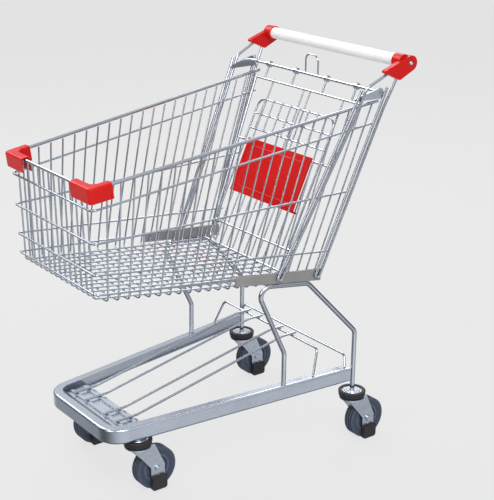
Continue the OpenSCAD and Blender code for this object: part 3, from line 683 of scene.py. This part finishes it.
@dataclass(frozen=True)
class Studio:
    """Pale floor and backdrop, soft boxes, and a surround that is dim at the horizon."""

    floor_size: float = 80.0
    floor_tone: RGB = (0.08, 0.08, 0.08)
    floor_shade: float = 0.98
    floor_noise: Pair = (0.8, 4.0)
    floor_rough: float = 0.8
    glow: float = 0.722
    backdrop_radius: float = 39.0
    backdrop_segments: tuple[int, int] = (32, 16)
    backdrop_tone: float = 0.78
    surround_tones: tuple[Pair, ...] = (
        (0.0, 0.38), (0.33, 0.72), (0.46, 0.26), (0.54, 0.22), (0.7, 0.6), (1.0, 1.3))
    tint: RGB = (0.97, 1.0, 1.05)
    bright_way: RGB = (math.cos(math.radians(75.0)), math.sin(math.radians(75.0)), 0.0)
    side_power: float = 2.0
    side_tones: Pair = (0.38, 1.45)
    near_way: RGB = (-0.15, 0.2, 0.0)
    lamps: tuple[Lamp, ...] = (
        Lamp("key", (1.2, 3.0, 3.6), 2.2, 2.2, 82.0),
        Lamp("front", (3.6, 0.6, 2.4), 1.2, 2.6, 42.0),
        Lamp("back", (-2.6, -1.6, 3.2), 2.4, 1.6, 45.0),
        Lamp("far", (0.6, -2.6, 3.0), 2.4, 1.4, 60.0),
    )

    def build(self) -> None:
        """Makes floor, backdrop, surround and lamps."""
        self.floor()
        self.backdrop()
        self.surround()
        for lamp in self.lamps:
            lamp.hang()
        bpy.context.scene.view_settings.view_transform = "Standard"

    def floor(self) -> None:
        """Makes the floor."""
        bm = bmesh.new()
        bmesh.ops.create_grid(bm, x_segments=1, y_segments=1, size=self.floor_size / 2)
        g = Graph("studio_floor")
        shade = tuple(self.floor_shade * c for c in self.floor_tone)
        tones = tuple(zip(g.NOISE_RANGE, (self.floor_tone, shade)))
        g.feed(Base_Color=g.ramp(g.noise(g.coordinates(), *self.floor_noise), tones))
        g.set(Roughness=self.floor_rough, Specular_IOR_Level=0.0)
        g.set(Emission_Color=WHITE, Emission_Strength=self.glow)
        self.add_stage("studio_floor", bm, g.material)

    def backdrop(self) -> None:
        """Makes the pale dome that closes the view and gives no light."""
        bm = bmesh.new()
        around, up = self.backdrop_segments
        bmesh.ops.create_uvsphere(bm, u_segments=around, v_segments=up, radius=self.backdrop_radius)
        g = Graph("studio_backdrop")
        g.set(Base_Color=BLACK, Roughness=1.0, Specular_IOR_Level=0.0)
        g.set(Emission_Color=WHITE, Emission_Strength=self.backdrop_tone)
        dome = self.add_stage("studio_backdrop", bm, g.material)
        dome.visible_diffuse = False
        dome.visible_shadow = False

    def add_stage(self, name: str, bm: bmesh.types.BMesh, finish: Material) -> bpy.types.Object:
        """Adds a piece of the studio, which metal doesn't mirror.

        Args:
            name: its name.
            bm: its mesh, which is freed.
            finish: its material.

        Returns:
            The object, hidden from glossy rays.
        """
        mesh = bpy.data.meshes.new(name)
        bm.to_mesh(mesh)
        bm.free()
        mesh.materials.append(finish)
        obj = add_object(name, mesh)
        obj.visible_glossy = False
        return obj

    def surround(self) -> None:
        """Sets a world whose tones give round metal its streaks.

        It is dim along the horizon and to two sides, and brighter on the near side than on the far one.
        """
        world = bpy.data.worlds.new("studio")
        world.use_nodes = True
        n = Nodes(world.node_tree)
        back = n.tree.nodes["Background"]
        way = n.node("ShaderNodeTexCoord").outputs["Generated"]
        split = n.node("ShaderNodeSeparateXYZ")
        n.link(way, split.inputs[0])
        height = n.map_range(split.outputs["Z"], (-1.0, 1.0), (0.0, 1.0))
        tones = [(stop, tuple(tone * c for c in self.tint)) for stop, tone in self.surround_tones]
        n.link(n.ramp(height, tones), back.inputs["Color"])
        toward = n.calculate("ABSOLUTE", n.dot(way, self.bright_way))
        sides = n.calculate("POWER", toward, self.side_power)
        cards = n.map_range(sides, (0.0, 1.0), self.side_tones)
        n.link(n.calculate("ADD", cards, n.dot(way, self.near_way)), back.inputs["Strength"])
        bpy.context.scene.world = world


@dataclass
class CartShape:
    """The cart's governing lines, in millimetres ahead of the rear caster stems."""

    centre_x: float = -1000.0 * STEM_X
    front: float = 709.0
    front_w: float = 356.0
    rear_w: float = 446.0
    rear_edge: float = -45.0
    wall_mid: float = 650.0
    lean: float = math.tan(math.radians(1.7))
    front_lean: float = math.tan(math.radians(1.8))
    rim_front: float = 775.0
    rim_slope: float = math.tan(math.radians(8.1))
    floor_front: float = 516.0
    floor_slope: float = math.tan(math.radians(6.4))
    belts: tuple[Pair, ...] = ((728, 98), (653, 16), (582, -66), (536, -66))
    belt_run: float = 718.0
    mesh_d: float = 4.0
    side_wires: int = 22
    first_back: float = 27.0
    last_foot: float = 124.0
    last_top_ahead: float = 14.0
    front_wires: int = 14
    front_inset: float = 22.0

    @property
    def flare(self) -> float:
        """Growth of the half width for each millimetre backward."""
        return (self.rear_w - self.front_w) / 2 / (self.front - self.rear_edge)

    def wall_y(self, x: float, z: float) -> float:
        """Half width over the side wires at a place."""
        return self.front_w / 2 + self.flare * (self.front - x) + self.lean * (z - self.wall_mid)

    def front_x(self, z: float) -> float:
        """Front wall's place at a height."""
        return self.front - self.front_lean * (self.rim_front - z)

    def floor_z(self, x: float) -> float:
        """Height of the floor's cross wires."""
        return self.floor_front - self.floor_slope * (self.front_x(self.floor_front) - x)

    def rim_z(self, x: float) -> float:
        """Height of the rim."""
        return self.rim_front + self.rim_slope * (self.front - x)

    def belt_z(self, k: int, x: float) -> float:
        """Height of belt k."""
        start, rise = self.belts[k]
        return start + rise * (self.front - x) / self.belt_run

    def row(self, x: float, y: float, z: float) -> Vector:
        """A point in the shared frame, in metres."""
        return Vector(((x - self.centre_x) * MM, y * MM, z * MM))

    def side_wire(self, i: int) -> Pair:
        """Foot and top of side wire i along X.

        Args:
            i: the wire's number from the front.

        Returns:
            Both places.
        """
        t = i / (self.side_wires - 1)
        first = self.front_x(self.floor_front) - self.first_back
        last_top = self.rear_edge + self.last_top_ahead
        return first + (self.last_foot - first) * t, first + (last_top - first) * t

    def front_y(self, j: int) -> float:
        """Place of front wire j across the cart."""
        return (2.0 * j / (self.front_wires - 1) - 1.0) * (self.front_w / 2 - self.front_inset)


@dataclass
class Bumper:
    """Corner bumper: a cap with an open underside over the rim's corner, in millimetres."""

    side: float
    shape: CartShape
    half_w: float = 11.5
    inner_half: float = 9.0
    crown: float = 7.3
    roof: float = 4.3
    low: float = -28.7
    edge_r: float = 4.5
    inner_r: float = 4.0
    quarter_steps: int = 6
    chamfer: float = 0.6
    hold: float = 0.8
    front_l: float = 74.0
    side_l: float = 46.0
    corner_r: float = 26.0
    nose_r: float = 9.0
    corner_steps: int = 8
    rim_ahead: float = 4.1
    rim_out: float = 1.1
    end_rings: tuple[Pair, ...] = ((0.0, 1.0), (0.3, 0.3), (1.0, 0.0))
    sharp_from: float = math.radians(20.0)

    def __post_init__(self) -> None:
        """Works out the corner of the rim in the rim's own tilted plane."""
        s = self.shape
        self.tilt = math.atan(s.rim_slope)
        self.ahead = s.front + self.rim_ahead
        self.rise = s.rim_z(self.ahead)
        self.corner = Vector((0.0, s.wall_y(self.ahead, self.rise) + self.rim_out))
        flare = s.flare * math.cos(self.tilt) + s.lean * math.sin(self.tilt)
        self.along = Vector((-1.0, flare)).normalized()
        self.out = Vector((self.along.y, -self.along.x))
        self.half = math.acos(-self.along.y) / 2

    def quarter(self, across: float, up: float, radius: float) -> list[Pair]:
        """A quarter turn from straight up to the right.

        Args:
            across: its centre's place across the rim.
            up: its centre's height.
            radius: its radius.

        Returns:
            Places across and up.
        """
        turns = [math.radians(90.0 - 90.0 / self.quarter_steps * k) for k in range(self.quarter_steps + 1)]
        return [(across + radius * math.cos(t), up + radius * math.sin(t)) for t in turns]

    def section(self) -> list[Pair]:
        """Outline across the rim: over the top, down the outside, back up inside, and the same mirrored.

        Returns:
            Places across and up.
        """
        w, inner = self.half_w, self.inner_half
        foot, head = self.low + self.chamfer, self.crown - self.edge_r
        ceiling = self.roof - self.inner_r
        right = [(w - self.edge_r - self.hold, self.crown)]
        right += self.quarter(w - self.edge_r, head, self.edge_r)
        right += [(w, head - self.hold), (w, foot + self.hold), (w, foot)]
        right += [(w - self.chamfer, self.low), (inner, self.low)]
        right += [(inner, self.low + self.hold), (inner, ceiling - self.hold)]
        right += self.quarter(inner - self.inner_r, ceiling, self.inner_r)[::-1]
        right += [(inner - self.inner_r - self.hold, self.roof)]
        return right + [(-u, v) for u, v in right[::-1]]

    def shrunk(self, inset: float) -> list[Pair]:
        """The section drawn in on all sides.

        Args:
            inset: how far its edges move inwards.

        Returns:
            Places across and up.
        """
        outline = [Vector(q) for q in self.section()]
        result: list[Pair] = []
        for before, here, after in zip(outline[-1:] + outline[:-1], outline, outline[1:] + outline[:1]):
            first, second = (here - before).normalized(), (after - here).normalized()
            one, two = Vector((first.y, -first.x)), Vector((second.y, -second.x))
            moved = here + inset * (one + two) / (1.0 + one.dot(two))
            result.append((moved.x, moved.y))
        return result

    def world(self, flat: Vector, v: float) -> Vector:
        """A point of the tilted rim plane, v above it, in metres."""
        turn, rise = math.cos(self.tilt), math.sin(self.tilt)
        x = self.ahead + flat.x * turn + v * rise
        return self.shape.row(x, self.side * flat.y, self.rise - flat.x * rise + v * turn)

    def bend(self, u: float) -> tuple[Vector, float, float]:
        """How the line u outside the rim goes round the corner, sharper the further out it lies.

        Args:
            u: distance outside the rim's middle, negative inside it.

        Returns:
            The line's sharp corner, its radius and its tangent length.
        """
        radius = self.corner_r + u
        if u >= 0.0:
            radius = self.corner_r + (self.nose_r - self.corner_r) * u / self.half_w
        tip = self.corner + Vector((u, (u - u * self.out.x) / self.out.y))
        return tip, radius, radius / math.tan(self.half)

    def rings(self) -> list[list[Vector]]:
        """Rings of the skin from the front arm's end round the corner to the side arm's end.

        Returns:
            The rings, in metres.
        """
        section = self.section()
        bends = [(v, *self.bend(u)) for u, v in section]
        inward = (Vector((0.0, -1.0)) + self.along).normalized()
        made = [[self.world(self.corner + Vector((u, back - self.front_l)), v) for u, v in self.shrunk(inset)]
                for back, inset in self.end_rings]
        made.append([self.world(tip - Vector((0.0, tangent + self.hold)), v) for v, tip, _, tangent in bends])
        for k in range(self.corner_steps + 1):
            turn = (math.pi - 2 * self.half) * k / self.corner_steps
            ray = Vector((math.cos(turn), math.sin(turn)))
            made.append([self.world(tip + inward * radius / math.sin(self.half) + ray * radius, v)
                         for v, tip, radius, _ in bends])
        made.append([self.world(tip + self.along * (tangent + self.hold), v) for v, tip, _, tangent in bends])
        made += [[self.world(self.corner + self.along * (self.side_l - back) + self.out * u, v)
                  for u, v in self.shrunk(inset)] for back, inset in reversed(self.end_rings)]
        return made

    def build(self, red: Material) -> None:
        """Adds the bumper, which stands for the CAD one.

        Args:
            red: its finish.
        """
        word = "left" if self.side > 0 else "right"
        points, faces = closed_skin(self.rings())
        piece = add_mesh(f"bumper_cap_{word}", points, faces, red)
        piece.data.set_sharp_from_angle(angle=self.sharp_from)
        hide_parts(f"bumper_{word}")
        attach(piece, "frame")
        LOG.info("bumper cap %s made", word)


@dataclass
class Basket:
    """Wire basket with its rim and corner bumpers."""

    shape: CartShape = field(default_factory=CartShape)
    bead: float = 2.6 * MM
    rim_drop: float = 4.8
    belt_gap: float = 0.05
    low_belt_end: float = 350.0
    crossing_rounds: int = 6
    floor_rear: float = 157.0
    floor_inset: float = 14.0
    wires: tuple[str, ...] = (
        "basket_front", "basket_left", "basket_right", "basket_floor", "rim_left", "rim_right")
    bumpers: tuple[str, ...] = ("bumper_left", "bumper_right")

    def crossing_x(self, i: int, k: int) -> float:
        """Where side wire i passes belt k, found by stepping closer.

        Args:
            i: the wire's number.
            k: the belt's number.

        Returns:
            The place along X.
        """
        s = self.shape
        low_x, top_x = s.side_wire(i)
        low_z, top_z = s.floor_z(low_x), s.rim_z(top_x) - self.rim_drop
        x = low_x
        for _ in range(self.crossing_rounds):
            x = low_x + (top_x - low_x) * (s.belt_z(k, x) - low_z) / (top_z - low_z)
        return x

    def crossings(self) -> list[Vector]:
        """Places where wall and floor wires are welded.

        Returns:
            The points.
        """
        s = self.shape
        lowest = len(s.belts) - 1
        points: list[Vector] = []
        for i in range(s.side_wires):
            for k in range(len(s.belts)):
                x = self.crossing_x(i, k)
                if k == lowest and x < self.low_belt_end:
                    continue
                z = s.belt_z(k, x)
                points += [s.row(x, side * (s.wall_y(x, z) + self.belt_gap), z) for side in (-1.0, 1.0)]
        for j in range(s.front_wires):
            points += [s.row(s.front_x(z) + s.mesh_d / 2, s.front_y(j), z) for z, _ in s.belts]
        return points + self.floor_crossings()

    def floor_crossings(self) -> list[Vector]:
        """Places where the floor's wires are welded.

        Returns:
            The points.
        """
        s = self.shape
        front, rear = s.front_x(s.floor_front), self.floor_rear
        fan = (s.wall_y(rear, s.floor_z(rear)) - self.floor_inset) / (s.front_w / 2 - s.front_inset)
        points: list[Vector] = []
        for i in range(s.side_wires):
            x = s.side_wire(i)[0]
            if x > rear:
                spread = 1.0 + (fan - 1.0) * (front - x) / (front - rear)
                z = s.floor_z(x) + s.mesh_d / 2
                points += [s.row(x, s.front_y(j) * spread, z) for j in range(s.front_wires)]
        return points

    def build(self, beads: BeadTree, wire: Material, red: Material) -> None:
        """Adds the bumpers and the weld beads.

        Args:
            beads: the bead maker.
            wire: the wire's finish.
            red: the bumpers' finish.
        """
        for side in (1.0, -1.0):
            Bumper(side, self.shape).build(red)
        points = self.crossings()
        piece = beads.make("basket_welds", points, self.bead, wire)
        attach(piece, "frame")
        LOG.info("basket welds: %d", len(points))

    def dress(self, wire: Material, red: Material) -> None:
        """Finishes the panels, rim and bumpers.

        Args:
            wire: for all wires.
            red: for the bumpers.
        """
        on_nodes(self.wires, wire)
        on_nodes(self.bumpers, red)
        LOG.info("basket dressed")


@dataclass
class Base:
    """Base rail, legs, lower rack and support plates."""

    rails: tuple[str, ...] = ("base_rail",)
    fittings: tuple[str, ...] = ("front_cross_plate", "caster_sockets")
    rods: tuple[str, ...] = ("rack_wires", "rack_hoops", "leg_left", "leg_right")
    plates: tuple[str, ...] = ("support_plate_left", "support_plate_right")

    def dress(self, wire: Material, rail: Material, plate: Material, zinc: Material) -> None:
        """Finishes the base.

        Args:
            wire: for rods and rack wires.
            rail: for the channel.
            plate: for the support plates.
            zinc: for the cross plate and sockets.
        """
        on_nodes(self.rails, rail)
        on_nodes(self.fittings, zinc)
        on_nodes(self.rods, wire)
        on_nodes(self.plates, plate)
        LOG.info("base dressed")


@dataclass
class Handle:
    """Handle with brackets, and the uprights that carry it; sizes in millimetres."""

    head_rings: tuple[Pair, ...] = ((6.4, 0.1), (6.5, 0.9), (6.1, 2.2), (5.2, 3.5), (4.3, 4.4), (3.6, 4.8))
    head_h: float = 5.0
    socket_across: float = 5.0
    socket_deep: float = 2.8
    segments: int = 24
    uprights: tuple[str, ...] = (
        "front_upright_left", "front_upright_right", "rear_upright_left", "rear_upright_right")
    rods: tuple[str, ...] = ("hinge_plates", "gate_hinge_rod", "bag_hook")
    brackets: tuple[str, ...] = ("handle_bracket_left", "handle_bracket_right")
    sleeves: tuple[str, ...] = ("handle_sleeve",)
    fittings: tuple[str, ...] = ("handle_tube", "handle_bolts")

    def bolts(self, zinc: Material) -> None:
        """Makes the domed bolt heads with hexagon sockets that stand for the plain ones.

        Args:
            zinc: their finish.
        """
        low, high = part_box("handle_bolts")
        middle, rise = (low[0] + high[0]) / 2, (low[2] + high[2]) / 2
        seat = high[1] - self.head_h * MM
        turns = [2 * math.pi * i / self.segments for i in range(self.segments)]
        bend = math.pi / 3
        hexagon = [self.socket_across / 2 / math.cos((t + bend / 2) % bend - bend / 2) for t in turns]
        top = self.head_rings[-1][1]
        profile = [([radius] * self.segments, height) for radius, height in self.head_rings]
        profile += [(hexagon, top), (hexagon, top - self.socket_deep)]
        points: list[Vector] = []
        faces: list[list[int]] = []
        for side in (-1.0, 1.0):
            rings = [
                [Vector((middle + r * MM * math.cos(t), side * (seat + h * MM), rise + r * MM * math.sin(t)))
                 for r, t in zip(radii, turns)]
                for radii, h in profile
            ]
            skin, quads = closed_skin(rings)
            faces += [[len(points) + i for i in face] for face in quads]
            points += skin
        piece = add_mesh("bracket_bolts", points, faces, zinc)
        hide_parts("handle_bolts")
        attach(piece, "frame")
        LOG.info("bracket bolts made")

    def dress(self, wire: Material, red: Material, white: Material, zinc: Material) -> None:
        """Finishes handle and uprights.

        Args:
            wire: for the uprights and the rods between them.
            red: for the brackets.
            white: for the sleeve.
            zinc: for tube and bolts.
        """
        on_nodes(self.uprights, wire)
        on_nodes(self.rods, wire)
        on_nodes(self.brackets, red)
        on_nodes(self.sleeves, white)
        on_nodes(self.fittings, zinc)
        LOG.info("handle dressed")


@dataclass
class Gate:
    """Rear gate with the folding child seat; places count down the gate from its hinge, in millimetres."""

    rest: float = math.radians(24.6)
    top_bar: float = 40.0
    low_from_back: float = 56.0
    low_half: float = 158.0
    wires: int = 12
    wire_inset: float = 20.0
    weld_out: float = -3.05
    low_weld_out: float = -3.3
    leg_hole: Pair = (20.0, 132.0)
    back_wires: int = 8
    back_half: float = 122.0
    back_top: float = 92.0
    back_low_gap: float = 33.0
    back_weld_out: float = 10.55
    bead: float = 2.4 * MM
    seat_top: float = -7.0
    seat_l: float = 143.0
    seat_w: float = 250.0
    seat_face: float = 17.0
    border_rings: tuple[Pair, ...] = ((16.0, -0.4), (16.6, 0.7), (18.0, 1.1), (19.4, 0.7), (20.0, -0.4))
    border_corner: float = 30.0
    corner_steps: int = 6

    def at(self, s: float, y: float, t: float) -> Vector:
        """A point s down the gate, y across and t forward of it, in metres."""
        down = Vector((math.sin(self.rest), 0.0, -math.cos(self.rest)))
        ahead = Vector((math.cos(self.rest), 0.0, math.sin(self.rest)))
        return joint_at("gate_swing") + (down * s + ahead * t + Vector((0.0, y, 0.0))) * MM

    def bar(self, name: str) -> float:
        """Distance of a folding joint from the gate's hinge."""
        return (joint_at(name) - joint_at("gate_swing")).length / MM

    def gate_welds(self) -> list[Vector]:
        """Places where the gate's upright wires meet its bars.

        Returns:
            The points.
        """
        seat, back = self.bar("seat_plate_fold"), self.bar("seat_back_fold")
        low = back + self.low_from_back
        pitch = 2.0 * (self.low_half - self.wire_inset) / (self.wires - 1)
        points: list[Vector] = []
        for j in range(self.wires):
            y = (j - (self.wires - 1) / 2) * pitch
            bars = [(seat, self.weld_out), (back, self.weld_out), (low, self.low_weld_out)]
            if not self.leg_hole[0] < abs(y) < self.leg_hole[1]:
                bars.append((self.top_bar, self.weld_out))
            points += [self.at(s, y, t) for s, t in bars]
        return points

    def back_welds(self) -> list[Vector]:
        """Places where the seat back's wires meet its cross rods.

        Returns:
            The points.
        """
        low, top = self.bar("seat_plate_fold") - self.back_low_gap, self.back_top
        across = [(2.0 * j / (self.back_wires - 1) - 1.0) * self.back_half for j in range(self.back_wires)]
        return [self.at(s, y, self.back_weld_out) for s in (low, (low + top) / 2, top) for y in across]

    def border_path(self, inset: float) -> list[Pair]:
        """Rounded rectangle on the seat plate.

        Args:
            inset: distance from the plate's edges.

        Returns:
            Places along the plate and across it.
        """
        corner = self.border_corner - inset
        near, far = self.seat_top + inset + corner, self.seat_top + self.seat_l - inset - corner
        half = self.seat_w / 2 - inset - corner
        corners = ((far, half), (near, half), (near, -half), (far, -half))
        path: list[Pair] = []
        for quarter, (s, y) in enumerate(corners):
            for k in range(self.corner_steps + 1):
                turn = 0.5 * math.pi * (quarter + k / self.corner_steps)
                path.append((s + corner * math.cos(turn), y + corner * math.sin(turn)))
        return path

    def border(self, red: Material) -> None:
        """Makes the raised line that frames the seat plate's bare field.

        Args:
            red: its finish.
        """
        bar = self.bar("seat_plate_fold")
        loops = [[self.at(bar + s, y, self.seat_face + rise) for s, y in self.border_path(inset)]
                 for inset, rise in self.border_rings]
        points, faces = closed_skin(loops, wrap=True)
        piece = add_mesh("seat_border", points, faces, red)
        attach(piece, "seat_plate")
        LOG.info("seat border made")

    def build(self, beads: BeadTree, wire: Material, red: Material) -> None:
        """Adds welds and the seat plate's border.

        Args:
            beads: the bead maker.
            wire: the wires' finish.
            red: the seat plate's finish.
        """
        welds = (("gate_welds", "gate", self.gate_welds()), ("back_welds", "seat_back", self.back_welds()))
        for name, body, points in welds:
            piece = beads.make(name, points, self.bead, wire)
            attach(piece, body)
            LOG.info("%s: %d", name, len(points))
        self.border(red)

    def dress(self, wire: Material, red: Material) -> None:
        """Finishes gate and seat.

        Args:
            wire: for gate and seat back.
            red: for the seat plate.
        """
        on_nodes(("rear_gate", "seat_back"), wire)
        on_nodes(("seat_plate",), red)
        LOG.info("gate dressed")


@dataclass
class Caster:
    """One swivel caster, named by its end and side of the cart."""

    end: str

    def dress(self, zinc: Material, black: Material, hub: Material) -> None:
        """Finishes the caster.

        Args:
            zinc: for stem, fork and axle.
            black: for ring and shoes.
            hub: for the wheel's core.
        """
        low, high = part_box(f"tyre_{self.end}")
        centre = [(a + b) / 2 for a, b in zip(low, high)]
        on_nodes([f"{part}_{self.end}" for part in ("stem", "fork", "axle")], zinc)
        on_nodes([f"{part}_{self.end}" for part in ("ring", "shoes")], black)
        on_nodes((f"hub_{self.end}",), hub)
        on_nodes((f"tyre_{self.end}",), WHEEL_RUBBER.material(centre))
        LOG.info("caster %s dressed", self.end)


def main() -> None:
    """Builds and dresses the cart."""
    logging.basicConfig(level=logging.INFO, format="%(name)s: %(message)s")
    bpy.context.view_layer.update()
    PhotoCamera().place()
    Studio().build()
    wire, rail, plate, zinc = (f.material() for f in (BRIGHT_WIRE, SATIN_RAIL, GREY_PLATE, ZINC))
    red, white, black, hub = (f.material() for f in (RED_PLASTIC, WHITE_PLASTIC, BLACK_PLASTIC, HUB_PLASTIC))
    beads = BeadTree()
    basket = Basket()
    basket.build(beads, wire, red)
    basket.dress(wire, red)
    Base().dress(wire, rail, plate, zinc)
    handle = Handle()
    handle.bolts(zinc)
    handle.dress(wire, red, white, zinc)
    gate = Gate()
    gate.build(beads, wire, red)
    gate.dress(wire, red)
    for end in ("front_left", "front_right", "rear_left", "rear_right"):
        Caster(end).dress(zinc, black, hub)


if __name__ == "__main__":
    main()
